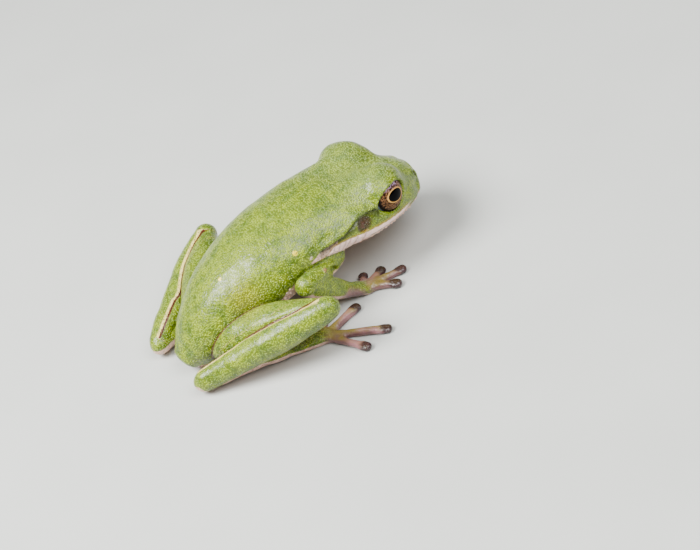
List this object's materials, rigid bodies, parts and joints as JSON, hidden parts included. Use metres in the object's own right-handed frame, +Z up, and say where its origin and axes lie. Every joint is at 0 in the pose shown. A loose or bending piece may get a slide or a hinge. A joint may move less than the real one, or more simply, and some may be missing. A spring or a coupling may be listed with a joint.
{
  "type": "tree frog",
  "caption": "Life-size still model of a green tree frog sitting with its hind legs folded and its head raised, resting on its feet, hands and belly.",
  "frame": {"origin": "on the floor, under the middle of the frog's length and breadth", "axes": "+X runs forward from the vent to the snout, +Y to the frog's left, +Z up; the feet, hands and belly rest on Z = 0"},
  "size_m": [0.0526, 0.0458, 0.0191],
  "materials": {
    "back": "finely granular moist skin, bright yellow-green, satin",
    "limbs": "smooth moist skin, yellow-green with pinkish cream undersides, satin",
    "throat": "pale cream granular skin, satin",
    "digits": "thin translucent mauve-brown skin with soft adhesive discs",
    "eye": "wet clear eye, mottled bronze iris with a gold ring round a black horizontal pupil"
  },
  "bodies": {
    "root": {"trunk": "back", "head": "back", "lower_jaw": "throat", "eye_right": "eye", "eye_left": "eye", "thigh_right": "limbs", "shank_right": "limbs", "tarsus_right": "limbs", "foot_right": "digits", "toe_1_right": "digits", "toe_2_right": "digits", "toe_3_right": "digits", "toe_4_right": "digits", "toe_5_right": "digits", "upper_arm_right": "limbs", "forearm_right": "limbs", "hand_right": "digits", "finger_1_right": "digits", "finger_2_right": "digits", "finger_3_right": "digits", "finger_4_right": "digits", "thigh_left": "limbs", "shank_left": "limbs", "tarsus_left": "limbs", "foot_left": "digits", "toe_1_left": "digits", "toe_2_left": "digits", "toe_3_left": "digits", "toe_4_left": "digits", "toe_5_left": "digits", "upper_arm_left": "limbs", "forearm_left": "limbs", "hand_left": "digits", "finger_1_left": "digits", "finger_2_left": "digits", "finger_3_left": "digits", "finger_4_left": "digits"}
  },
  "joints": []
}
